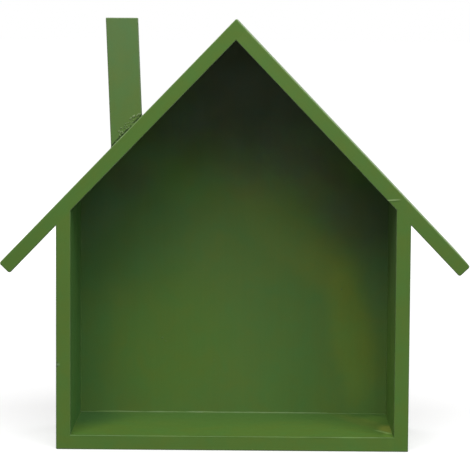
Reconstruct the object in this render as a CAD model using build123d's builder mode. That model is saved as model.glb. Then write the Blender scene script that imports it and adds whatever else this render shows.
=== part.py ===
from build123d import *
from math import cos, radians, sin, tan
import os

# House-shaped wall shelf: five boards glued and nailed to a house outline, a thin back panel
# held in a groove, a chimney strip on the left roof slope and two keyhole plates to hang it by.
# Millimetres, +Z up, open front towards -Y. The origin is the middle of the overall footprint,
# level with the underside of the floor, so the ridge stands over X = 0.

# Boards and overall sizes
board = 12.0               # thickness of the floor, side and roof boards and the chimney
depth = 120.0              # front edges to rear edges
body_width = 290.0         # across the outsides of the side boards
body_shift = -1.1          # the body stands this far to the left of the ridge
ridge_height = 354.0       # underside of the floor to the outer ridge
roof_slope = 46.1          # degrees from level, both roof boards
eave_reach = 192.7         # ridge to the square corner of an eave end
arris = 0.8                # sanded edges round the open front
rear_arris = 0.4           # sanded edges round the back
corner_round = 0.8         # ridge and the two bottom corners
eave_round = 2.0           # corners of the eave ends

# Back panel
panel_thickness = 3.0
panel_recess = 5.0         # rear edges of the boards to the rear face of the panel
groove_depth = 4.0         # how far the panel reaches into every board

# Chimney
chimney_width = 26.0
chimney_x = -89.6          # where its centre line meets the roof
chimney_lean = 2.4         # degrees to the left of upright
chimney_top = 354.3        # height of its level top
chimney_setback = 15.0     # front edge of the roof to the front of the chimney
chimney_arris = 0.8
chimney_blank = 300.0      # length of its strip before both ends are cut

# Brads, all of one size, with their heads set below the surface
brad_length = 30.0
brad_radius = 0.6
brad_tip = 1.5             # length of the point
head_radius = 1.0
head_thickness = 0.8
head_set = 1.2             # surface to the top of the head
set_shaft = 3.0            # shaft that the nail set leaves above the head, to past any surface
brad_rows = (-45.0, -3.5, 38.0)    # places along the depth, clear of the back panel
chimney_brad_offset = 7.0  # each side of the chimney's centre line

# Keyhole plates and their screws
plate_thickness = 1.5
plate_height = 150.0       # middle of the plates above the underside of the floor
screw_offset = 17.0        # each plate screw above and below the middle of its plate
tab_radius = 5.5           # rounded ends over the screws
ear_reach = 19.0           # middle of the side board to the middle of the keyhole
ear_radius = 9.5
keyhole_radius = 4.5       # entry for the head of a wall screw
slot_width = 4.5           # for the shank of a wall screw
slot_rise = 7.0            # middle of the entry to the top middle of the slot
entry_drop = 3.0           # middle of the entry below the middle of the plate
screw_length = 16.0
screw_radius = 1.5
screw_head_radius = 2.8
screw_tip = 3.0
cross_length = 3.4
cross_width = 0.8
cross_depth = 1.2

# Values worked out from those above
slope = radians(roof_slope)
upright_board = board / cos(slope)                  # a roof board measured straight up
left_roof_out = (-sin(slope), 0, cos(slope))        # square to the left roof board, outwards
front = -depth / 2
rear = depth / 2
left_out = body_shift - body_width / 2
left_in = left_out + board
right_out = body_shift + body_width / 2
right_in = right_out - board
rear_plane = Plane.XZ.offset(-rear)                 # extrudes forwards from the rear edges
panel_plane = Plane.XZ.offset(panel_recess - rear)
chimney_plane = Plane.XZ.offset(-front - chimney_setback)
body_middle = Plane.YZ.offset(body_shift)


def roof_top(x):
    """Height of the roof's outer face."""
    return ridge_height - abs(x) * tan(slope)


def roof_under(x):
    """Height of the roof's inner face."""
    return roof_top(x) - upright_board


def eave_corners(side):
    """Upper and lower corner of the eave end, side -1 on the left and 1 on the right."""
    upper = (side * eave_reach, roof_top(eave_reach))
    lower = (upper[0] - side * board * sin(slope), upper[1] - board * cos(slope))
    return upper, lower


left_eave_upper, left_eave_lower = eave_corners(-1)
right_eave_upper, right_eave_lower = eave_corners(1)
inner_outline = [
    (left_in, board),
    (right_in, board),
    (right_in, roof_under(right_in)),
    (0, roof_under(0)),
    (left_in, roof_under(left_in)),
]
# The left roof board runs over the top end of the right one, up to this line.
overlap_x = upright_board / 2 / tan(slope)
ridge_overlap = (overlap_x, roof_top(overlap_x))

# The glued-up carcass as one blank, so that the edges are rounded across the joints as sanding
# leaves them. Each board is then its own share of this blank.
with BuildPart() as carcass:
    with BuildSketch(rear_plane):
        Polygon(
            (0, ridge_height),
            right_eave_upper,
            right_eave_lower,
            (right_out, roof_under(right_out)),
            (right_out, 0),
            (left_out, 0),
            (left_out, roof_under(left_out)),
            left_eave_lower,
            left_eave_upper,
            align=None,
        )
        Polygon(*inner_outline, align=None, mode=Mode.SUBTRACT)
    extrude(amount=depth)
    lengthwise = carcass.edges().filter_by(Axis.Y)
    fillet(lengthwise.sort_by(Axis.Z)[:2] + lengthwise.sort_by(Axis.Z)[-1:], radius=corner_round)
    lengthwise = carcass.edges().filter_by(Axis.Y).sort_by(Axis.X)
    fillet(lengthwise[:2] + lengthwise[-2:], radius=eave_round)
    fillet(carcass.faces().sort_by(Axis.Y)[0].edges(), radius=arris)
    fillet(carcass.faces().sort_by(Axis.Y)[-1].edges(), radius=rear_arris)

with BuildPart() as back_panel:
    with BuildSketch(panel_plane):
        Polygon(*inner_outline, align=None)
        offset(amount=groove_depth, kind=Kind.INTERSECTION)
    extrude(amount=panel_thickness)


def brad_profile(reach):
    """Half section of a brad whose head starts at the origin; reach carries the head outwards."""
    Polygon(
        (0, reach),
        (head_radius, reach),
        (head_radius, -head_thickness),
        (brad_radius, -head_thickness),
        (brad_radius, brad_tip - brad_length),
        (0, -brad_length),
        align=None,
    )


with BuildPart() as brad:
    with BuildSketch(Plane.XZ):
        brad_profile(0)
    revolve(axis=Axis.Z)

# The same shape with the open shaft that the nail set leaves above the head.
with BuildPart() as brad_hole:
    with BuildSketch(Plane.XZ):
        brad_profile(set_shaft)
    revolve(axis=Axis.Z)

with BuildPart() as filler_plug:
    Cylinder(head_radius, set_shaft, align=(Align.CENTER, Align.CENTER, Align.MIN))


def sunk(x, y, z, direction):
    """Plane of a brad head, set below the point on the surface and facing the way it points."""
    out = Vector(direction).normalized()
    return Plane(Vector(x, y, z) - out * head_set, z_dir=out)


overlap_middle = overlap_x / 2
ridge_entry_x = overlap_middle - board * sin(slope)
left_side_x = (left_out + left_in) / 2
right_side_x = (right_out + right_in) / 2
floor_left_places = [sunk(left_out, y, board / 2, (-1, 0, 0)) for y in brad_rows]
floor_right_places = [sunk(right_out, y, board / 2, (1, 0, 0)) for y in brad_rows]
eave_left_places = [sunk(left_side_x, y, roof_top(left_side_x), (0, 0, 1)) for y in brad_rows]
eave_right_places = [sunk(right_side_x, y, roof_top(right_side_x), (0, 0, 1)) for y in brad_rows]
ridge_places = [sunk(ridge_entry_x, y, roof_top(ridge_entry_x), left_roof_out) for y in brad_rows]
chimney_places = [
    sunk(x, front + chimney_setback + board / 2, roof_under(x), (0, 0, -1))
    for x in (chimney_x - chimney_brad_offset, chimney_x + chimney_brad_offset)
]


def placed(single, places):
    """One solid of the given shape at every place."""
    with BuildPart() as group:
        with Locations(*places):
            add(single.part)
    return group


brad_groups = {
    "floor_brads_left": floor_left_places,
    "floor_brads_right": floor_right_places,
    "eave_brads_left": eave_left_places,
    "eave_brads_right": eave_right_places,
    "ridge_brads": ridge_places,
    "chimney_brads": chimney_places,
}
brads = {name: placed(brad, places) for name, places in brad_groups.items()}
all_places = [place for places in brad_groups.values() for place in places]
brad_holes = placed(brad_hole, all_places)

with BuildPart() as chimney:
    with BuildSketch(chimney_plane):
        with Locations((chimney_x, roof_top(chimney_x))):
            Rectangle(chimney_width, chimney_blank, rotation=chimney_lean)
    extrude(amount=-board)
    split(bisect_by=Plane((0, 0, ridge_height), z_dir=left_roof_out), keep=Keep.TOP)
    split(bisect_by=Plane.XY.offset(chimney_top), keep=Keep.BOTTOM)
    foot = chimney.faces().sort_by(Axis((0, 0, 0), left_roof_out))[0]
    fillet(chimney.edges() - foot.edges(), radius=chimney_arris)
    add(brad_holes.part, mode=Mode.SUBTRACT)

with BuildPart() as nail_filler:
    with Locations(*all_places):
        add(filler_plug.part)
    add(carcass.part, mode=Mode.INTERSECT)

# Keyhole plate of the left side: a tab over each screw and an ear that reaches over the recess.
plate_origin = (left_side_x, rear, plate_height)
plate_plane = Plane(plate_origin, x_dir=(1, 0, 0), z_dir=(0, -1, 0))
with BuildPart() as plate_blank:
    with BuildSketch(plate_plane):
        with Locations((0, screw_offset), (0, -screw_offset)):
            Circle(tab_radius)
        with Locations((ear_reach, 0)):
            Circle(ear_radius)
        make_hull()
    extrude(amount=plate_thickness)

with BuildPart() as wood_screw:
    with BuildSketch(Plane.XZ):
        Polygon(
            (0, 0),
            (screw_head_radius, 0),
            (screw_radius, screw_radius - screw_head_radius),
            (screw_radius, screw_tip - screw_length),
            (0, -screw_length),
            align=None,
        )
    revolve(axis=Axis.Z)

with BuildPart() as cross_recess:
    for turn in (0, 90):
        with BuildSketch(Plane.XY):
            Rectangle(cross_length, cross_width, rotation=turn)
        extrude(amount=-cross_depth)

screw_places = [
    Plane((left_side_x, rear, plate_height + dz), z_dir=(0, 1, 0)) for dz in (screw_offset, -screw_offset)
]
screw_bodies = placed(wood_screw, screw_places)

with BuildPart() as left_hanger_plate:
    add(plate_blank.part)
    with BuildSketch(plate_plane):
        with Locations((ear_reach, -entry_drop)):
            Circle(keyhole_radius)
        with Locations((ear_reach, slot_rise / 2 - entry_drop)):
            SlotCenterToCenter(slot_rise, slot_width, rotation=90)
    extrude(amount=plate_thickness, mode=Mode.SUBTRACT)
    add(screw_bodies.part, mode=Mode.SUBTRACT)

with BuildPart() as left_hanger_screws:
    add(screw_bodies.part)
    with Locations(*screw_places):
        add(cross_recess.part, mode=Mode.SUBTRACT)

with BuildPart() as right_hanger_plate:
    mirror(left_hanger_plate.part, about=body_middle)

with BuildPart() as right_hanger_screws:
    mirror(left_hanger_screws.part, about=body_middle)

# What is cut out of the boards: the panel's groove, the brad holes, the plates and their screws.
with BuildPart() as cut_outs:
    add(back_panel.part)
    add(brad_holes.part)
    for fitting in (plate_blank, screw_bodies):
        add(fitting.part)
        mirror(fitting.part, about=body_middle)


def board_from_blank(*corners):
    """The share of the carcass inside the given corners, with its grooves and holes cut."""
    with BuildPart() as piece:
        with BuildSketch(rear_plane):
            Polygon(*corners, align=None)
        extrude(amount=depth)
        add(carcass.part, mode=Mode.INTERSECT)
        add(cut_outs.part, mode=Mode.SUBTRACT)
    return piece


floor_board = board_from_blank((left_in, 0), (right_in, 0), (right_in, board), (left_in, board))
left_side = board_from_blank(
    (left_out, 0),
    (left_in, 0),
    (left_in, roof_under(left_in)),
    (left_out, roof_under(left_out)),
)
right_side = board_from_blank(
    (right_in, 0),
    (right_out, 0),
    (right_out, roof_under(right_out)),
    (right_in, roof_under(right_in)),
)
left_roof_board = board_from_blank(
    (0, ridge_height),
    left_eave_upper,
    left_eave_lower,
    (0, roof_under(0)),
    ridge_overlap,
)
right_roof_board = board_from_blank(
    ridge_overlap,
    (0, roof_under(0)),
    right_eave_lower,
    right_eave_upper,
)

pieces = {
    "floor_board": floor_board,
    "left_side": left_side,
    "right_side": right_side,
    "left_roof_board": left_roof_board,
    "right_roof_board": right_roof_board,
    "back_panel": back_panel,
    "chimney": chimney,
    "nail_filler": nail_filler,
    "left_hanger_plate": left_hanger_plate,
    "right_hanger_plate": right_hanger_plate,
    "left_hanger_screws": left_hanger_screws,
    "right_hanger_screws": right_hanger_screws,
    **brads,
}
os.makedirs("parts", exist_ok=True)
for name, piece in pieces.items():
    piece.part.label = name
    export_step(piece.part, f"parts/{name}.step")
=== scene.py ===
from math import cos, pi, radians, sin, tan

import bmesh
import bpy
from mathutils import Matrix, Vector, noise


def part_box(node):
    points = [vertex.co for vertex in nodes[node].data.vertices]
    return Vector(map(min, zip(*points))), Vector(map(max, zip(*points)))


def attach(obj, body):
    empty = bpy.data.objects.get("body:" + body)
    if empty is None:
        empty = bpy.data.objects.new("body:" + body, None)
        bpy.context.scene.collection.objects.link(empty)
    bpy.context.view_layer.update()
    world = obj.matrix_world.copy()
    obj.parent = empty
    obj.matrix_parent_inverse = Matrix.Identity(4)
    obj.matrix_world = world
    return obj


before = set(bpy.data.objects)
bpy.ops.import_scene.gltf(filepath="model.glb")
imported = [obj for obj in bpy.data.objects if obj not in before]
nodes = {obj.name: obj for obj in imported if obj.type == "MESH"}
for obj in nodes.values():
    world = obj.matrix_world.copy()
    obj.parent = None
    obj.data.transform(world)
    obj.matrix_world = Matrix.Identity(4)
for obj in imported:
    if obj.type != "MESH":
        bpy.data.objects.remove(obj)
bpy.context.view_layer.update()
scene = bpy.context.scene
print("frame loaded with", len(nodes), "nodes")

mm = 0.001

# Faces of the shelf that the paint and the beads follow, read from the frame
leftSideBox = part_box("left_side")
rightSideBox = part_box("right_side")
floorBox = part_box("floor_board")
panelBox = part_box("back_panel")
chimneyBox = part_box("chimney")
house = {
    "slope": radians(46.1),           # both roof boards, from level
    "board": floorBox[1].z,           # board thickness
    "front": floorBox[0].y,
    "leftIn": leftSideBox[1].x,
    "rightIn": rightSideBox[0].x,
    "leftOut": leftSideBox[0].x,
    "rightOut": rightSideBox[1].x,
    "panelFront": panelBox[0].y,
    "ridge": 354.0 * mm,              # outer ridge, before its edge is rounded
}
ridgePoint = Vector((0.0, 0.0, house["ridge"]))
roofOut = {
    "left": (-sin(house["slope"]), 0.0, cos(house["slope"])),
    "right": (sin(house["slope"]), 0.0, cos(house["slope"])),
}


def roofTop(x):
    return house["ridge"] - abs(x) * tan(house["slope"])


def roofUnder(x):
    return roofTop(x) - house["board"] / cos(house["slope"])


def inMm(*sizes):
    return tuple(size * mm for size in sizes)


def onFloor(x, y):
    return (x * mm, y * mm, house["board"])


def onFront(x, z):
    return (x * mm, house["front"], z * mm)


def onPanel(x, z):
    return (x * mm, house["panelFront"], z * mm)


# Node helpers

def newMaterial(name):
    material = bpy.data.materials.new(name)
    material.use_nodes = True
    material.node_tree.nodes.clear()
    return material


def addNode(tree, kind, inputs=None, **settings):
    node = tree.nodes.new(kind)
    for key, value in settings.items():
        setattr(node, key, value)
    for key, value in (inputs or {}).items():
        if isinstance(value, bpy.types.NodeSocket):
            tree.links.new(value, node.inputs[key])
        else:
            node.inputs[key].default_value = value
    return node


def maths(tree, operation, first, second=0.0, clamp=False):
    node = addNode(tree, "ShaderNodeMath", {0: first, 1: second}, operation=operation, use_clamp=clamp)
    return node.outputs[0]


def product(tree, first, *others):
    for other in others:
        first = maths(tree, "MULTIPLY", first, other)
    return first


def swing(tree, value, amount):
    return product(tree, maths(tree, "SUBTRACT", value, 0.5), amount)      # a noise, set about zero


def vectorMaths(tree, operation, *values):
    node = addNode(tree, "ShaderNodeVectorMath", dict(enumerate(values)), operation=operation)
    return node.outputs["Value" if operation in ("LENGTH", "DOT_PRODUCT") else "Vector"]


def remap(tree, value, fromLow, fromHigh, toLow=0.0, toHigh=1.0, smooth=False):
    inputs = {0: value, 1: fromLow, 2: fromHigh, 3: toLow, 4: toHigh}
    kind = "SMOOTHSTEP" if smooth else "LINEAR"
    return addNode(tree, "ShaderNodeMapRange", inputs, interpolation_type=kind).outputs[0]


def blendColour(tree, factor, first, second, how="MIX"):
    inputs = {0: factor, 6: first, 7: second}
    node = addNode(tree, "ShaderNodeMix", inputs, data_type="RGBA", blend_type=how, clamp_factor=True)
    return node.outputs[2]


def noiseAt(tree, where, scale, detail=2.0, roughness=0.5, distortion=0.0):
    inputs = {"Vector": where, "Scale": scale, "Detail": detail, "Roughness": roughness,
              "Distortion": distortion}
    return addNode(tree, "ShaderNodeTexNoise", inputs).outputs[0]


def turned(tree, where, angle, axis="Y_AXIS"):
    inputs = {"Vector": where, "Angle": angle}
    return addNode(tree, "ShaderNodeVectorRotate", inputs, rotation_type=axis).outputs[0]


def stretched(tree, where, scale):
    return addNode(tree, "ShaderNodeMapping", {"Vector": where, "Scale": scale}).outputs[0]


def separate(tree, vector):
    return addNode(tree, "ShaderNodeSeparateXYZ", {0: vector}).outputs


def rgba(colour):
    return (*colour, 1.0)


def scaled(colour, factor):
    return tuple(channel * factor for channel in colour)


def bumpFrom(tree, height, distance, strength=1.0, normal=None):
    inputs = {"Height": height, "Distance": distance, "Strength": strength}
    if normal is not None:
        inputs["Normal"] = normal
    return addNode(tree, "ShaderNodeBump", inputs).outputs[0]


def finishShader(tree, colour, roughness, normal, **sockets):
    inputs = {"Base Color": colour, "Roughness": roughness, "Normal": normal, **sockets}
    shader = addNode(tree, "ShaderNodeBsdfPrincipled", inputs)
    addNode(tree, "ShaderNodeOutputMaterial", {"Surface": shader.outputs[0]})


# Green paint, rolled on and brushed along each board

greenPaint = {
    "colour": (0.084, 0.163, 0.031),
    "olive": (0.096, 0.156, 0.026),
    "cool": (0.074, 0.166, 0.036),
    "hueShare": 0.65,                    # how far it wanders between olive and cool
    "hueSize": 44.8,                     # sizes are noise scales, per metre
    "blotch": 0.10,
    "blotchSize": 14.0,
    "stipple": 0.05,
    "stippleSize": 620.0,
    "stippleHeight": 0.05 * mm,
    "streak": 0.08,
    "streakStretch": (9.0, 260.0, 260.0),
    "streakHeight": 0.04 * mm,
    "edge": (0.118, 0.190, 0.068),       # paler rounded edges: thin paint where sanded, and a painted highlight
    "edgeSize": 90.0,
    "roughness": (0.47, 0.58),
    "roughnessSize": 35.0,
    "specular": 0.24,
    "tones": (),                         # painted light and shade: faces turned one way drawn lighter, darker, warmer or cooler
}
roundedEdge = {
    "begins": (0.06, 0.22),              # how squarely it faces the room, on its way round
    "ends": (0.93, 0.99),
}


def paintColour(tree, where, look, streaks):
    blotches = noiseAt(tree, where, look["blotchSize"], 4.0, 0.6)
    hue = noiseAt(tree, where, look["hueSize"], 3.0, 0.65, 0.4)
    tint = blendColour(tree, remap(tree, hue, 0.3, 0.7), rgba(look["cool"]), rgba(look["olive"]))
    colour = blendColour(tree, look["hueShare"], rgba(look["colour"]), tint)
    stipple = noiseAt(tree, where, look["stippleSize"], 3.0, 0.6)
    shade = maths(tree, "ADD", 1.0 - look["blotch"] / 2, product(tree, blotches, look["blotch"]))
    shade = maths(tree, "ADD", shade, swing(tree, stipple, look["stipple"]))
    shade = maths(tree, "ADD", shade, swing(tree, streaks, look["streak"]))
    shaded = addNode(tree, "ShaderNodeVectorMath", {0: colour, "Scale": shade}, operation="SCALE")
    return shaded.outputs[0], stipple


def edgeMask(tree, normal):
    across = maths(tree, "ABSOLUTE", separate(tree, normal)[1])
    rising = remap(tree, across, *roundedEdge["begins"], smooth=True)
    falling = remap(tree, across, *roundedEdge["ends"], 1.0, 0.0, smooth=True)
    return product(tree, rising, falling)


# painted light and shade: faces turned one way are tinted lighter, darker, warmer or cooler, some only low
# down or high up
def shadeByFacing(tree, place, colour, tones):
    for tone in tones:
        facing = vectorMaths(tree, "DOT_PRODUCT", place["Normal"], tone["facing"])
        mask = remap(tree, facing, 0.6, 0.9, smooth=True)
        if "fade" in tone:                               # heights in mm between which it dies away
            height = separate(tree, place["Object"])[2]
            mask = product(tree, mask, remap(tree, height, *inMm(*tone["fade"]), 1.0, 0.0, smooth=True))
        colour = blendColour(tree, mask, colour, rgba(tone["tint"]), "MULTIPLY")
    return colour


def paintedBoard(name, rise=0.0, extra=None, **changes):
    look = {**greenPaint, **changes}
    material = newMaterial(name)
    tree = material.node_tree
    place = addNode(tree, "ShaderNodeTexCoord").outputs
    where = place["Object"]
    along = stretched(tree, turned(tree, where, rise), look["streakStretch"])
    streaks = noiseAt(tree, along, 1.0, 3.0, 0.6, 0.3)
    colour, stipple = paintColour(tree, where, look, streaks)
    colour = shadeByFacing(tree, place, colour, look["tones"])
    # paler rounded edges: partly thin paint where sanded, partly a painted highlight
    wearAndHighlightBreaks = remap(tree, noiseAt(tree, where, look["edgeSize"], 3.0, 0.7), 0.3, 0.65)
    wornAndLitEdges = product(tree, edgeMask(tree, place["Normal"]), wearAndHighlightBreaks)
    colour = blendColour(tree, wornAndLitEdges, colour, rgba(look["edge"]))
    if extra is not None:
        colour = extra(tree, place, colour)
    normal = bumpFrom(tree, streaks, look["streakHeight"], 0.5)
    normal = bumpFrom(tree, stipple, look["stippleHeight"], 0.6, normal)
    sheen = noiseAt(tree, where, look["roughnessSize"], 4.0, 0.7)
    roughness = remap(tree, sheen, 0.3, 0.7, *look["roughness"])
    finishShader(tree, colour, roughness, normal, **{"Specular IOR Level": look["specular"]})
    return material


def dress(name, material):
    slots = nodes[name].data.materials
    if not slots:
        slots.append(material)
    for index in range(len(slots)):
        slots[index] = material


# Marks worked in over single boards' paint: painted light, shade and highlights, an olive streak, and a
# chip and a nick with their lit and shaded sides painted

markLook = {
    "turn": 0,                           # degrees, about the axis
    "axis": "Y_AXIS",
    "ragged": 0.7,
    "scale": 140.0,                      # noise scale of the ragged outline
}
# painted highlights along the roof boards' rounded front edges, the outer and the inner one
roofEdgeHighlights = {
    "outer": {"facing": (0.15, 0.55), "colour": (0.20, 0.30, 0.115), "strength": 0.75},
    "inner": {"facing": (-0.15, -0.55), "colour": (0.21, 0.29, 0.165), "strength": 0.75},
}


def patch(tree, where, look):
    shifted = vectorMaths(tree, "SUBTRACT", where, look["centre"])
    shifted = turned(tree, shifted, radians(look["turn"]), look["axis"])
    distance = vectorMaths(tree, "LENGTH", vectorMaths(tree, "DIVIDE", shifted, look["reach"]))
    wobble = swing(tree, noiseAt(tree, where, look["scale"], 4.0, 0.65), look["ragged"])
    return remap(tree, maths(tree, "ADD", distance, wobble), 0.3, 1.0, 1.0, 0.0, smooth=True)


# painted highlights on the roof's rounded front edges, broken by noise
def paintRoofEdgeHighlight(side):
    def extra(tree, place, colour):
        edge = edgeMask(tree, place["Normal"])
        outwards = vectorMaths(tree, "DOT_PRODUCT", place["Normal"], roofOut[side])
        broken = remap(tree, noiseAt(tree, place["Object"], 160.0, 3.0, 0.7), 0.3, 0.6)
        for look in roofEdgeHighlights.values():
            facing = remap(tree, outwards, *look["facing"], smooth=True)
            mask = product(tree, edge, facing, broken, look["strength"])
            colour = blendColour(tree, mask, colour, rgba(look["colour"]))
        return colour
    return extra


def withMarks(marks, before=None):
    def extra(tree, place, colour):
        if before is not None:
            colour = before(tree, place, colour)
        for mark in marks.values():
            mask = patch(tree, place["Object"], {**markLook, **mark})
            if "tint" in mark:                           # multiplies the colour under it: painted light and shade
                colour = blendColour(tree, mask, colour, rgba(mark["tint"]), "MULTIPLY")
            else:
                mask = product(tree, mask, mark["strength"])
                colour = blendColour(tree, mask, colour, rgba(mark["colour"]))
        return colour
    return extra


def arrisMark(x, reach, tint, ragged=0.3):
    return {"centre": (x * mm, house["front"], house["board"]), "reach": inMm(reach, 3.0, 2.0),
            "ragged": ragged, "tint": tint}


floorMarks = {
    # painted shade: the back of the floor, under the roof, drawn deeper green
    "shadeAtBack": {"centre": onFloor(0, 62), "reach": inMm(400, 85, 30), "ragged": 0.2, "scale": 25.0,
                 "colour": (0.066, 0.148, 0.028), "strength": 0.85},
    # painted shadow: the floor beside the left side drawn darker
    "shadowAtLeft": {"centre": onFloor(-138, 34), "reach": inMm(55, 75, 12), "ragged": 0.3, "scale": 30.0,
                 "colour": (0.042, 0.112, 0.028), "strength": 0.9},
    # a yellower streak across the right of the floor
    "oliveStreak": {"centre": onFloor(109, 12), "reach": inMm(62, 15, 20), "turn": 63, "axis": "Z_AXIS",
              "colour": (0.108, 0.172, 0.030), "strength": 0.75},
    # painted light: the floor at the back right drawn paler
    "paleBack": {"centre": onFloor(119.5, 26), "reach": inMm(16, 26, 20), "ragged": 0.3, "scale": 60.0,
                 "tint": (1.38, 1.24, 1.20)},
    # painted light: a warm, pale patch at the right front of the floor, lifting it out of the right side's
    # shade
    "warmLightRight": {"centre": onFloor(129, -22), "reach": inMm(10.5, 26, 20), "ragged": 0.35, "scale": 90.0,
            "colour": (0.215, 0.262, 0.045), "strength": 0.9},
    # a ridge of paint drawn flat as a pale line: its highlight is painted
    "ridge": {"centre": onFloor(124.9, -35.3), "reach": inMm(15.7, 3.4, 20), "turn": 55, "axis": "Z_AXIS",
              "ragged": 0.3, "colour": (0.205, 0.325, 0.100), "strength": 0.85},
    # painted light: the floor's front right corner drawn paler against the shade beside the right side
    "paleCorner": {"centre": onFloor(129.5, -47), "reach": inMm(8, 16, 20), "ragged": 0.3,
                   "tint": (1.45, 1.42, 1.45)},
    # painted shade and highlight on the bright front arris: darker in some runs, brighter in one
    "dullArris": arrisMark(-30, 200, (0.96, 0.98, 0.82), 0.2),
    "dullArrisLeft": arrisMark(-112, 48, (0.81, 0.88, 0.88)),
    "dullArrisMiddle": arrisMark(-6, 56, (0.82, 0.88, 0.80)),
    "dullArrisRight": arrisMark(71.5, 19, (0.77, 0.83, 0.68)),
    "brightArris": arrisMark(97.2, 12, (1.20, 1.17, 1.25)),
    "dullCorner": arrisMark(130, 18, (0.72, 0.78, 0.58)),
}
rightRoofMarks = {
    # a small chip at the right eave: its lit edge and its shaded edge are painted on the flat front face
    "chipLight": {"centre": onFront(128.3, 207.9), "reach": inMm(8.5, 4.0, 0.8), "turn": 4,
                  "ragged": 0.3, "colour": (0.24, 0.35, 0.14), "strength": 1.0},
    "chipShade": {"centre": onFront(129.2, 206.7), "reach": inMm(7.5, 4.0, 0.8), "turn": 4,
                  "ragged": 0.3, "colour": (0.050, 0.105, 0.018), "strength": 0.8},
}
leftSideMarks = {
    # a nick in the left side's outer edge: its lit and its shaded sides are painted on the flat front face
    "nickLight": {"centre": onFront(-144.4, 70.6), "reach": inMm(2.2, 3.0, 1.4), "ragged": 0.3,
                  "colour": (0.150, 0.250, 0.105), "strength": 1.0},
    "nickShadeLow": {"centre": onFront(-145.8, 69.0), "reach": inMm(1.7, 3.0, 1.3), "ragged": 0.3,
                     "colour": (0.030, 0.050, 0.020), "strength": 0.9},
    "nickShadeHigh": {"centre": onFront(-145.8, 72.2), "reach": inMm(1.5, 3.0, 1.3), "ragged": 0.3,
                      "colour": (0.034, 0.058, 0.022), "strength": 0.8},
}
chimneyFoot = {
    "colour": (0.092, 0.162, 0.047),
    # paler rounded edges of the chimney, brightest along its top: partly thin paint, partly a painted
    # highlight
    "edge": (0.150, 0.205, 0.100),
    "gap": 1.3 * mm,                   # height of the open joint under it, its shade painted as a dark line
    "gapSoft": 1.4,
    "gapColour": (0.022, 0.048, 0.008),
    "dashSize": 260.0,                 # how often the joint is bridged
    "openFrom": -79.5 * mm,            # right of this it is open without a break
    "openOver": 1.5 * mm,
}


# painted shade: a dark, broken line along the chimney's foot stands for the shade in the open joint
def openFootJoint(tree, place, colour):
    where = place["Object"]
    gap = chimneyFoot["gap"]
    openFrom = chimneyFoot["openFrom"]
    above = vectorMaths(tree, "SUBTRACT", where, ridgePoint)
    height = vectorMaths(tree, "DOT_PRODUCT", above, roofOut["left"])
    low = remap(tree, height, gap, gap * chimneyFoot["gapSoft"], 1.0, 0.0)
    dashes = remap(tree, noiseAt(tree, where, chimneyFoot["dashSize"]), 0.38, 0.46)
    corner = remap(tree, separate(tree, where)[0], openFrom, openFrom + chimneyFoot["openOver"])
    mask = product(tree, low, maths(tree, "MAXIMUM", dashes, corner))
    return blendColour(tree, mask, colour, rgba(chimneyFoot["gapColour"]))


upright = pi / 2                       # brush strokes run along each board
leftSlope = house["slope"]
rightSlope = -house["slope"]
upwards = (0.0, 0.0, 1.0)
towardsRoom = (0.0, -1.0, 0.0)
towardsRight = (1.0, 0.0, 0.0)
towardsLeft = (-1.0, 0.0, 0.0)
# painted light and shade on each board, by the way its faces turn; the chimney paler and cooler near its
# top
boardFaceShading = {
    "floor": [{"facing": towardsRoom, "tint": (1.07, 1.12, 0.96)},
              {"facing": upwards, "tint": (0.96, 1.0, 0.82)}],
    "leftSide": [{"facing": towardsRoom, "tint": (0.98, 0.99, 0.80)},
                 {"facing": towardsRoom, "tint": (1.08, 1.12, 1.16), "fade": (0, 150)},
                 {"facing": towardsRight, "tint": (0.76, 0.98, 1.10)},
                 {"facing": towardsRight, "tint": (1.12, 1.18, 1.20), "fade": (20, 140)}],
    "rightSide": [{"facing": towardsRoom, "tint": (0.96, 1.02, 0.86)},
                  {"facing": towardsRoom, "tint": (1.10, 1.10, 1.12), "fade": (0, 140)},
                  {"facing": towardsLeft, "tint": (0.94, 0.88, 1.34)},
                  {"facing": towardsLeft, "tint": (1.40, 1.48, 0.92), "fade": (60, 180)}],
    "leftRoof": [{"facing": towardsRoom, "tint": (0.90, 0.985, 0.80)}],
    "rightRoof": [{"facing": towardsRoom, "tint": (0.97, 1.01, 0.90)}],
    "chimney": [{"facing": towardsRoom, "tint": (1.06, 1.07, 1.40), "fade": (354, 270)}],
}


def paintBoards():
    floorPaint = paintedBoard("floorPaint", extra=withMarks(floorMarks), tones=boardFaceShading["floor"])
    leftSidePaint = paintedBoard("leftSidePaint", upright, withMarks(leftSideMarks),
                                 tones=boardFaceShading["leftSide"])
    rightSidePaint = paintedBoard("rightSidePaint", upright, tones=boardFaceShading["rightSide"])
    leftRoofPaint = paintedBoard("leftRoofPaint", leftSlope, paintRoofEdgeHighlight("left"),
                                 tones=boardFaceShading["leftRoof"])
    rightRoofExtra = withMarks(rightRoofMarks, paintRoofEdgeHighlight("right"))
    rightRoofPaint = paintedBoard("rightRoofPaint", rightSlope, rightRoofExtra,
                                  tones=boardFaceShading["rightRoof"])
    chimneyPaint = paintedBoard("chimneyPaint", upright, openFootJoint, tones=boardFaceShading["chimney"],
                                colour=chimneyFoot["colour"], edge=chimneyFoot["edge"])
    dress("floor_board", floorPaint)
    dress("left_side", leftSidePaint)
    dress("right_side", rightSidePaint)
    dress("left_roof_board", leftRoofPaint)
    dress("right_roof_board", rightRoofPaint)
    dress("chimney", chimneyPaint)


paintBoards()
fillerPaint = paintedBoard("fillerPaint")
beadPaint = paintedBoard("beadPaint")
dress("nail_filler", fillerPaint)

# Back panel: the same paint in front with painted light and shade worked over it, bare hardboard behind
# with paint that crept round the rim

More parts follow.
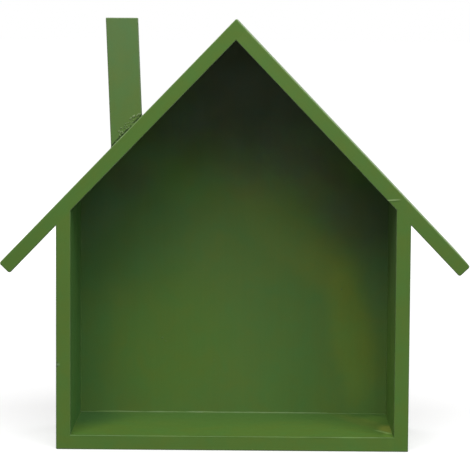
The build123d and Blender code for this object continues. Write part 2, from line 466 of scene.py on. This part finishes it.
backPanel = {
    "bare": (0.235, 0.138, 0.070),
    "fibre": (0.330, 0.205, 0.115),
    "fibreSize": 900.0,
    # painted light and shade on the panel's front: lighter, darker, warmer or cooler, and a grey haze over
    # the dark gable; middle and reach in mm on the panel
    "lightAndShade": {
        "coolLeft": {"middle": (-84, 170), "reach": (72, 82), "tint": (0.80, 0.94, 0.99)},
        "leftEdge": {"middle": (-128, 80), "reach": (30, 120), "tint": (0.80, 0.97, 1.10)},
        "leftFoot": {"middle": (-60, 80), "reach": (85, 85), "tint": (1.00, 1.03, 0.84)},
        "paleMiddle": {"middle": (-38, 222), "reach": (50, 42), "tint": (1.06, 1.14, 0.97)},
        "arcTop": {"middle": (42, 172), "reach": (90, 32), "turn": -42, "tint": (1.20, 1.07, 1.02)},
        "arcBend": {"middle": (80, 141), "reach": (36, 36), "tint": (1.18, 1.07, 0.96)},
        "arcFoot": {"middle": (101, 84), "reach": (90, 25), "turn": -81, "tint": (1.38, 1.20, 0.92)},
        "rightFoot": {"middle": (112, 26), "reach": (38, 34), "tint": (1.04, 1.06, 1.16)},
        "coolMiddle": {"middle": (48, 70), "reach": (48, 85), "tint": (0.86, 0.97, 1.00)},
        "deepRight": {"middle": (107, 180), "reach": (45, 45), "tint": (0.86, 0.82, 1.10)},
        "rightEdge": {"middle": (126, 160), "reach": (26, 90), "tint": (0.95, 0.95, 1.32)},
        "deepSlope": {"middle": (72, 214), "reach": (85, 30), "turn": -46, "tint": (0.90, 0.78, 1.08)},
        "paleSlope": {"middle": (-87, 220), "reach": (120, 28), "turn": 46, "tint": (1.14, 1.10, 1.52)},
        "leftCorner": {"middle": (-130, 182), "reach": (40, 50), "tint": (1.14, 1.10, 1.36)},
        "gable": {"middle": (28, 326), "reach": (145, 142), "tint": (0.84, 0.60, 1.60)},
        "warmEave": {"middle": (118, 195), "reach": (22, 22), "tint": (1.15, 1.00, 0.98)},
        "dullSlopeLeft": {"middle": (-91, 216), "reach": (26, 22), "tint": (1.00, 0.86, 0.98)},
        "dullSlopeRight": {"middle": (79, 227), "reach": (36, 18), "turn": -46, "tint": (0.98, 0.86, 0.98)},
        "warmSlope": {"middle": (72, 206), "reach": (24, 22), "tint": (1.00, 0.99, 0.88)},
        "warmShoulder": {"middle": (98, 173), "reach": (22, 20), "tint": (1.02, 1.00, 0.88)},
    },
    "shadeDepth": 20.0,
    "shadeRagged": 0.45,
    "shadeScale": 28.0,
    "creep": 9.0 * mm,                 # paint on the rear face, in from the boards
    "creepSize": 45.0,
    "creepSoft": 2.0 * mm,
}


# painted light and shade on the panel's front, placed from the table above
def panelLightAndShade():
    lightAndShade = {}
    outline = {"ragged": backPanel["shadeRagged"], "scale": backPanel["shadeScale"]}
    for patchName, patchShade in backPanel["lightAndShade"].items():
        wide, high = patchShade["reach"]
        placed = {"centre": onPanel(*patchShade["middle"]), "reach": inMm(wide, backPanel["shadeDepth"], high)}
        lightAndShade[patchName] = {**patchShade, **placed, **outline}
    return lightAndShade


def distanceToRim(tree, where):
    axes = separate(tree, where)
    middle = (house["leftIn"] + house["rightIn"]) / 2
    halfWidth = (house["rightIn"] - house["leftIn"]) / 2
    sideways = maths(tree, "ABSOLUTE", maths(tree, "SUBTRACT", axes[0], middle))
    toSide = maths(tree, "SUBTRACT", halfWidth, sideways)
    toFloor = maths(tree, "SUBTRACT", axes[2], house["board"])
    fall = product(tree, maths(tree, "ABSOLUTE", axes[0]), tan(house["slope"]))
    toRoof = maths(tree, "SUBTRACT", roofUnder(0.0), maths(tree, "ADD", axes[2], fall))
    toRoof = product(tree, toRoof, cos(house["slope"]))
    return maths(tree, "MINIMUM", maths(tree, "MINIMUM", toSide, toFloor), toRoof)


# painted light and shade over the front paint, then bare hardboard behind
def panelShadeAndBareRear(tree, place, colour):
    where = place["Object"]
    colour = withMarks(panelLightAndShade())(tree, place, colour)
    fibres = remap(tree, noiseAt(tree, where, backPanel["fibreSize"], 4.0, 0.75, 0.6), 0.35, 0.65)
    board = blendColour(tree, fibres, rgba(backPanel["bare"]), rgba(backPanel["fibre"]))
    ragged = product(tree, noiseAt(tree, where, backPanel["creepSize"], 4.0, 0.7), 2.0 * backPanel["creep"])
    painted = maths(tree, "SUBTRACT", ragged, backPanel["creep"] / 2)
    past = maths(tree, "SUBTRACT", distanceToRim(tree, where), painted)
    bare = remap(tree, past, 0.0, backPanel["creepSoft"], smooth=True)
    behind = remap(tree, separate(tree, place["Normal"])[1], 0.3, 0.7)
    return blendColour(tree, product(tree, bare, behind), colour, board)


dress("back_panel", paintedBoard("panelPaint", upright, extra=panelShadeAndBareRear))
print("paint and panel dressed")

# Beads of paint and glue in the joints

def addPiece(name, builder, material):
    mesh = bpy.data.meshes.new(name)
    bmesh.ops.recalc_face_normals(builder, faces=builder.faces)
    builder.to_mesh(mesh)
    builder.free()
    mesh.shade_smooth()
    mesh.materials.append(material)
    piece = bpy.data.objects.new(name, mesh)
    scene.collection.objects.link(piece)
    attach(piece, "root")


def sweep(builder, sections, closed=False):
    rings = [[builder.verts.new(point) for point in section] for section in sections]
    count = len(rings[0])
    following = rings[1:] + rings[:1] if closed else rings[1:]
    for ring, after in zip(rings, following):
        for index in range(count):
            other = (index + 1) % count
            builder.faces.new((ring[index], ring[other], after[other], after[index]))
    if not closed:
        builder.faces.new(rings[0])
        builder.faces.new(rings[-1][::-1])


def sidesOf(corners):
    return list(zip(corners, corners[1:] + corners[:1]))


def between(start, end, gap):
    count = int((end - start).length / gap)
    return [start.lerp(end, step / count) for step in range(1, count)]


def beadSection(corner, first, second, size, look):
    points = [corner - (first + second) * look["sunk"], corner + first * size - second * look["sunk"]]
    for step in range(look["facets"] + 1):
        part = step / look["facets"]
        bulge = 2 * part * (1 - part) * look["hollow"]
        along = first * size * ((1 - part) ** 2 + bulge)
        points.append(corner + along + second * size * (part ** 2 + bulge))
    points.append(corner + second * size - first * look["sunk"])
    return points


def beadSize(place, look):
    broad = noise.noise(place * look["wanderScale"])
    fine = noise.noise(place * look["wanderScale"] * 3.7)
    return look["reach"] * (1 + look["wander"] * (broad + 0.5 * fine))


panelBead = {
    "reach": 0.25 * mm,                # how far it runs out onto the panel and the boards
    "floorReach": 0.75 * mm,           # the same where the brush left more, on the floor
    "floorRun": (-121.0 * mm, 81.0 * mm),
    "wander": 0.6,                     # share by which that changes along the joint
    "wanderScale": 55.0,
    "hollow": 0.25,                    # 0 follows the corner, 1 bulges
    "facets": 5,
    "sunk": 0.12 * mm,                 # how far it reaches into what it lies against
    "step": 2.5 * mm,
}


def panelBeadSize(place):
    start, end = panelBead["floorRun"]
    size = beadSize(place, panelBead)
    if place.z > house["board"] + mm or not start < place.x < end:
        return size
    return size * panelBead["floorReach"] / panelBead["reach"]


def flat(pair, y):
    return Vector((pair[0], y, pair[1]))


def innerOutline():
    return [
        (house["leftIn"], house["board"]),
        (house["rightIn"], house["board"]),
        (house["rightIn"], roofUnder(house["rightIn"])),
        (0.0, roofUnder(0.0)),
        (house["leftIn"], roofUnder(house["leftIn"])),
    ]


def makePanelBead():
    forward = Vector(towardsRoom)
    sides = sidesOf([flat(pair, house["panelFront"]) for pair in innerOutline()])
    inwards = [forward.cross(end - start).normalized() for start, end in sides]
    sections = []
    for index, (start, end) in enumerate(sides):
        before, here = inwards[index - 1], inwards[index]
        mitre = (before + here) / (1 + before.dot(here))
        sections.append(beadSection(start, mitre, forward, panelBeadSize(start), panelBead))
        for place in between(start, end, panelBead["step"]):
            sections.append(beadSection(place, here, forward, panelBeadSize(place), panelBead))
    builder = bmesh.new()
    sweep(builder, sections, closed=True)
    addPiece("panelBead", builder, beadPaint)


makePanelBead()

cornerBead = {
    "reach": 0.3 * mm,
    "wander": 0.5,
    "wanderScale": 60.0,
    "hollow": 0.2,
    "facets": 4,
    "sunk": 0.12 * mm,
    "step": 2.5 * mm,
    "start": 1.2 * mm,                 # begins behind the rounded front edge
}


def makeCornerBeads():
    outline = innerOutline()
    builder = bmesh.new()
    for index, corner in enumerate(outline):
        front = flat(corner, house["front"] + cornerBead["start"])
        back = flat(corner, house["panelFront"])
        towardsNext = (flat(outline[(index + 1) % len(outline)], back.y) - back).normalized()
        towardsLast = (flat(outline[index - 1], back.y) - back).normalized()
        sections = []
        for place in [front, *between(front, back, cornerBead["step"]), back]:
            size = beadSize(place, cornerBead)
            sections.append(beadSection(place, towardsNext, towardsLast, size, cornerBead))
        sweep(builder, sections)
    addPiece("cornerBeads", builder, beadPaint)


makeCornerBeads()

chimneyGlue = {
    "width": 26.0 * mm,
    "lean": radians(2.4),
    "footX": -89.6 * mm,               # where the middle of the chimney meets the roof
    "reach": 0.8 * mm,
    "least": 0.12 * mm,
    "frontShare": 0.25,                # it was wiped off the front
    "cornerShare": 0.8,
    "wander": 0.9,
    "wanderScale": 130.0,
    "hollow": 0.5,
    "facets": 5,
    "sunk": 0.12 * mm,
    "step": 0.8 * mm,
    "colour": (0.20, 0.27, 0.125),
    # dried drops on the front face: x and distance from the joint in mm, then width, height and thickness
    "drops": [(-86.0, 5.2, 2.2, 1.4, 0.4), (-83.5, 4.6, 3.0, 1.9, 0.6), (-80.0, 3.0, 4.6, 1.1, 0.6),
              (-78.0, 1.9, 1.6, 0.8, 0.4)],
    # rough places, as middle, size and number of crumbs each way
    "crumbs": [{"middle": (-92.4, 3.1), "size": (6.5, 5.0), "count": (5, 3)},
               {"middle": (-86.4, 2.6), "size": (5.5, 3.4), "count": (5, 2)}],
    "crumb": (1.15, 0.8, 0.4),
    "crumbLow": 0.4,
    "crumbSeed": (1.7, 2.3),
}
dropShape = {
    "lumps": 0.4,                      # share by which a drop swells and shrinks
    "lumpScale": 1.6,
    "seedScale": 900.0,
}


def addDrop(builder, centre, reach, lean=0.0):
    drop = bmesh.ops.create_icosphere(builder, subdivisions=3, radius=1.0)
    tilt = Matrix.Rotation(lean, 3, "Y")
    seed = centre * dropShape["seedScale"]
    for vert in drop["verts"]:
        swell = 1 + dropShape["lumps"] * noise.noise(vert.co * dropShape["lumpScale"] + seed)
        shaped = Vector((vert.co.x * reach[0], vert.co.y * reach[1], vert.co.z * reach[2])) * swell
        vert.co = centre + tilt @ shaped


def chimneyAxis():
    return Vector((-sin(chimneyGlue["lean"]), 0.0, cos(chimneyGlue["lean"])))


def chimneyCorner(side):
    axis = chimneyAxis()
    across = Vector((axis.z, 0.0, -axis.x)) * side * chimneyGlue["width"] / 2
    start = Vector((chimneyGlue["footX"], 0.0, roofTop(chimneyGlue["footX"]))) + across
    out = Vector(roofOut["left"])
    return start - axis * ((start - ridgePoint).dot(out) / axis.dot(out))


def chimneyCrumbs():
    crumbs = []
    columnSeed, rowSeed = chimneyGlue["crumbSeed"]
    for rough in chimneyGlue["crumbs"]:
        columns, rows = rough["count"]
        middle, size = rough["middle"], rough["size"]
        for column in range(columns):
            for row in range(rows):
                seed = Vector((column * columnSeed, row * rowSeed, middle[0]))
                aside, up, swell = noise.noise_vector(seed)
                x = middle[0] + size[0] * ((column + 0.5 + aside) / columns - 0.5)
                height = middle[1] + size[1] * ((row + 0.5 + up) / rows - 0.5)
                crumb = scaled(chimneyGlue["crumb"], 1 + swell)
                crumbs.append((x, max(height, chimneyGlue["crumbLow"]), *crumb))
    return crumbs


def makeChimneyGlue():
    axis = chimneyAxis()
    left, right = chimneyCorner(-1), chimneyCorner(1)
    front, back = chimneyBox[0].y, chimneyBox[1].y
    corners = [Vector((left.x, front, left.z)), Vector((right.x, front, right.z)),
               Vector((right.x, back, right.z)), Vector((left.x, back, left.z))]
    up = Vector(roofOut["left"])
    sides = sidesOf(corners)
    outwards = [(end - start).cross(up).normalized() for start, end in sides]
    sections = []
    for index, (start, end) in enumerate(sides):
        here = outwards[index]
        share = chimneyGlue["frontShare"] if here.y < -0.5 else 1.0
        startShare = chimneyGlue["frontShare"] if start.y < (front + back) / 2 else 1.0
        size = beadSize(start, chimneyGlue) * chimneyGlue["cornerShare"] * startShare
        sections.append(beadSection(start, outwards[index - 1] + here, axis, size, chimneyGlue))
        for place in between(start, end, chimneyGlue["step"]):
            size = max(beadSize(place, chimneyGlue) * share, chimneyGlue["least"])
            sections.append(beadSection(place, here, axis, size, chimneyGlue))
    builder = bmesh.new()
    sweep(builder, sections, closed=True)
    for x, height, wide, high, thick in chimneyGlue["drops"] + chimneyCrumbs():
        centre = Vector((x * mm, front, roofTop(x * mm) + height * mm / cos(house["slope"])))
        addDrop(builder, centre, (wide / 2 * mm, thick * mm, high / 2 * mm), -house["slope"])
    gluePaint = paintedBoard("gluePaint", colour=chimneyGlue["colour"], cool=chimneyGlue["colour"],
                             olive=scaled(chimneyGlue["colour"], 0.9))
    addPiece("chimneyGlue", builder, gluePaint)


makeChimneyGlue()

# Specks of thick paint on the panel, in mm: the middle, and half the width, thickness and height
paintSpecks = {
    "leftHigh": {"middle": (-63.0, 77.2), "reach": (0.9, 0.18, 0.9)},
    "leftLow": {"middle": (-60.2, 74.6), "reach": (0.7, 0.12, 0.6)},
    "middleHigh": {"middle": (21.5, 141.0), "reach": (0.7, 0.14, 0.5)},
    "middleRight": {"middle": (48.0, 96.0), "reach": (0.6, 0.12, 0.7)},
    "middleLow": {"middle": (-18.0, 58.5), "reach": (0.8, 0.14, 0.6)},
    "right": {"middle": (92.0, 121.0), "reach": (0.6, 0.14, 0.8)},
}


def makePaintSpecks():
    builder = bmesh.new()
    for speck in paintSpecks.values():
        middle = flat(Vector(speck["middle"]) * mm, house["panelFront"])
        addDrop(builder, middle, Vector(speck["reach"]) * mm)
    addPiece("paintSpecks", builder, beadPaint)


makePaintSpecks()

fillerSpots = {
    "radius": 3.2 * mm,
    "height": 0.14 * mm,
    "sunk": 0.1 * mm,
    "rings": 6,
    "spokes": 28,
    "ragged": 0.3,
    "seedScale": 300.0,
    "rows": (-45.0 * mm, -3.5 * mm, 38.0 * mm),       # along the depth, over the brads
    "ridgeInset": 0.6 * mm,
}


def spotRim(centre):
    rim = []
    for spoke in range(fillerSpots["spokes"]):
        angle = 2 * pi * spoke / fillerSpots["spokes"]
        around = Vector((cos(angle), sin(angle), 0.0))
        wobble = fillerSpots["ragged"] * noise.noise(around + centre * fillerSpots["seedScale"])
        rim.append(around * fillerSpots["radius"] * (1 + wobble))
    return rim


def addSpot(builder, centre, out):
    out = Vector(out).normalized()
    turn = out.to_track_quat("Z", "Y")
    rim = spotRim(centre)
    rings = []
    for ring in range(1, fillerSpots["rings"] + 1):
        part = ring / fillerSpots["rings"]
        height = fillerSpots["height"] * (1 - part ** 2) ** 2
        rings.append([centre + turn @ (point * part + Vector((0.0, 0.0, height))) for point in rim])
    rings.append([centre + turn @ (point + Vector((0.0, 0.0, -fillerSpots["sunk"]))) for point in rim])
    loops = [[builder.verts.new(point) for point in ring] for ring in rings]
    top = builder.verts.new(centre + out * fillerSpots["height"])
    for spoke in range(fillerSpots["spokes"]):
        other = (spoke + 1) % fillerSpots["spokes"]
        builder.faces.new((top, loops[0][spoke], loops[0][other]))
        for inner, outer in zip(loops, loops[1:]):
            builder.faces.new((inner[spoke], outer[spoke], outer[other], inner[other]))
    builder.faces.new(loops[-1][::-1])


def makeFillerSpots():
    builder = bmesh.new()
    leftX = (house["leftOut"] + house["leftIn"]) / 2
    rightX = (house["rightOut"] + house["rightIn"]) / 2
    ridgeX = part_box("ridge_brads")[0].x + fillerSpots["ridgeInset"]
    for y in fillerSpots["rows"]:
        addSpot(builder, Vector((house["leftOut"], y, house["board"] / 2)), towardsLeft)
        addSpot(builder, Vector((house["rightOut"], y, house["board"] / 2)), towardsRight)
        addSpot(builder, Vector((leftX, y, roofTop(leftX))), roofOut["left"])
        addSpot(builder, Vector((rightX, y, roofTop(rightX))), roofOut["right"])
        addSpot(builder, Vector((ridgeX, y, roofTop(ridgeX))), roofOut["left"])
    addPiece("fillerSpots", builder, fillerPaint)


makeFillerSpots()
print("beads, glue and filler added")

# Steel and zinc

metals = {
    "brad": {"colour": (0.55, 0.55, 0.54), "roughness": (0.27, 0.49), "nodes": [
        "floor_brads_left", "floor_brads_right", "eave_brads_left", "eave_brads_right",
        "ridge_brads", "chimney_brads"]},
    "zinc": {"colour": (0.62, 0.63, 0.64), "roughness": (0.30, 0.52), "nodes": [
        "left_hanger_plate", "right_hanger_plate"]},
    "screw": {"colour": (0.58, 0.58, 0.57), "roughness": (0.22, 0.44), "nodes": [
        "left_hanger_screws", "right_hanger_screws"]},
}
metalSurface = {
    "spangleSize": 420.0,
    "spangleDark": 0.86,
    "scratchStretch": (2500.0, 60.0, 160.0),
    "scratchHeight": 0.01 * mm,
}


def metalMaterial(name, look):
    material = newMaterial(name)
    tree = material.node_tree
    where = addNode(tree, "ShaderNodeTexCoord").outputs["Object"]
    spangle = addNode(tree, "ShaderNodeTexVoronoi", {"Vector": where, "Scale": metalSurface["spangleSize"]})
    grain = remap(tree, separate(tree, spangle.outputs["Color"])[0], 0.0, 1.0)
    dark = scaled(look["colour"], metalSurface["spangleDark"])
    colour = blendColour(tree, grain, rgba(dark), rgba(look["colour"]))
    scratches = noiseAt(tree, stretched(tree, where, metalSurface["scratchStretch"]), 1.0, 4.0, 0.7)
    roughness = remap(tree, scratches, 0.3, 0.7, *look["roughness"])
    normal = bumpFrom(tree, scratches, metalSurface["scratchHeight"], 0.4)
    finishShader(tree, colour, roughness, normal, Metallic=1.0)
    return material


for metalName, metal in metals.items():
    metalFinish = metalMaterial(metalName, metal)
    for nodeName in metal["nodes"]:
        dress(nodeName, metalFinish)
print("metal dressed")

# Studio: white floor, one softbox in front and two behind, and a pale room

studio = {
    "floorSize": 60.0,
    "floorGlow": 0.58,               # what the eye sees of the floor in full shadow
    "farGlow": 1.0,                  # the same, past the reach of the lamps
    "glowFrom": 0.5,
    "glowTo": 2.2,
    "floorWhite": 0.45,              # what the lamps add
    "floorBounce": 0.04,             # the floor as it lights the shelf
    "roomLight": 0.06,
    "aim": (0.0, -0.03, 0.2),
}
softboxes = {
    "frontSoftbox": {"turn": 7.0, "rise": 51.5, "away": 1.775, "size": (2.175, 1.062), "level": 6.8},
    "rearLeftSoftbox": {"turn": -148.0, "rise": 38.0, "away": 2.2, "size": (1.4, 1.0), "level": 4.2},
    "rearRightSoftbox": {"turn": 138.0, "rise": 32.0, "away": 2.2, "size": (1.2, 1.0), "level": 3.4},
}


def grey(level):
    return (level, level, level, 1.0)


def seenDirectly(tree):
    rays = addNode(tree, "ShaderNodeLightPath").outputs
    seen = maths(tree, "ADD", rays["Is Camera Ray"], rays["Is Glossy Ray"])
    return maths(tree, "ADD", seen, rays["Is Transmission Ray"], clamp=True)


def makeFloor():
    mesh = bpy.data.meshes.new("studioFloor")
    builder = bmesh.new()
    bmesh.ops.create_grid(builder, x_segments=1, y_segments=1, size=studio["floorSize"] / 2)
    builder.to_mesh(mesh)
    builder.free()
    floor = bpy.data.objects.new("studioFloor", mesh)
    scene.collection.objects.link(floor)
    material = newMaterial("studioWhite")
    tree = material.node_tree
    bounce = addNode(tree, "ShaderNodeBsdfDiffuse", {"Color": grey(studio["floorBounce"])}).outputs[0]
    white = addNode(tree, "ShaderNodeBsdfDiffuse", {"Color": grey(studio["floorWhite"])}).outputs[0]
    away = vectorMaths(tree, "LENGTH", addNode(tree, "ShaderNodeTexCoord").outputs["Object"])
    level = remap(tree, away, studio["glowFrom"], studio["glowTo"],
                  studio["floorGlow"], studio["farGlow"], smooth=True)
    glow = addNode(tree, "ShaderNodeEmission", {"Strength": level}).outputs[0]
    shown = addNode(tree, "ShaderNodeAddShader", {0: white, 1: glow}).outputs[0]
    mixed = addNode(tree, "ShaderNodeMixShader", {0: seenDirectly(tree), 1: bounce, 2: shown}).outputs[0]
    addNode(tree, "ShaderNodeOutputMaterial", {"Surface": mixed})
    mesh.materials.append(material)


def makeRoomLight():
    world = bpy.data.worlds.new("studioRoom")
    scene.world = world
    world.use_nodes = True
    tree = world.node_tree
    tree.nodes.clear()
    dim = {"Color": grey(1.0), "Strength": studio["roomLight"]}
    lit = addNode(tree, "ShaderNodeBackground", dim).outputs[0]
    bright = {"Color": grey(1.0), "Strength": 1.0}
    shown = addNode(tree, "ShaderNodeBackground", bright).outputs[0]
    mixed = addNode(tree, "ShaderNodeMixShader", {0: seenDirectly(tree), 1: lit, 2: shown}).outputs[0]
    addNode(tree, "ShaderNodeOutputWorld", {"Surface": mixed})


def makeSoftbox(name, look):
    light = bpy.data.lights.new(name, "AREA")
    light.shape = "RECTANGLE"
    light.size, light.size_y = look["size"]
    light.energy = look["level"] * pi * look["size"][0] * look["size"][1]
    softbox = bpy.data.objects.new(name, light)
    scene.collection.objects.link(softbox)
    turn, rise = radians(look["turn"]), radians(look["rise"])       # round from the open front, and up
    outwards = Vector((sin(turn) * cos(rise), -cos(turn) * cos(rise), sin(rise)))
    softbox.location = Vector(studio["aim"]) + outwards * look["away"]
    softbox.rotation_mode = "QUATERNION"
    softbox.rotation_quaternion = (-outwards).to_track_quat("-Z", "Y")


makeFloor()
makeRoomLight()
for softboxName, softboxLook in softboxes.items():
    makeSoftbox(softboxName, softboxLook)

cameraStand = {
    "place": (0.01505, -1.90579, 0.35656),
    "turn": 0.0080124,               # radians to the left
    "tilt": 0.0962036,               # radians down
    "roll": 0.0068288,
    "lens": 174.08,
    "sensor": 36.0,
    "clip": (0.05, 60.0),
}


def makeCamera():
    lens = bpy.data.cameras.new("shelfCamera")
    lens.lens = cameraStand["lens"]
    lens.sensor_width = cameraStand["sensor"]
    lens.clip_start, lens.clip_end = cameraStand["clip"]
    camera = bpy.data.objects.new("shelfCamera", lens)
    scene.collection.objects.link(camera)
    facing = Matrix.Rotation(cameraStand["turn"], 3, "Z")
    facing = facing @ Matrix.Rotation(pi / 2 - cameraStand["tilt"], 3, "X")
    facing = facing @ Matrix.Rotation(cameraStand["roll"], 3, "Z")
    camera.rotation_mode = "QUATERNION"
    camera.rotation_quaternion = facing.to_quaternion()
    camera.location = cameraStand["place"]
    scene.camera = camera


makeCamera()
scene.view_settings.view_transform = "Standard"
print("studio and camera set")
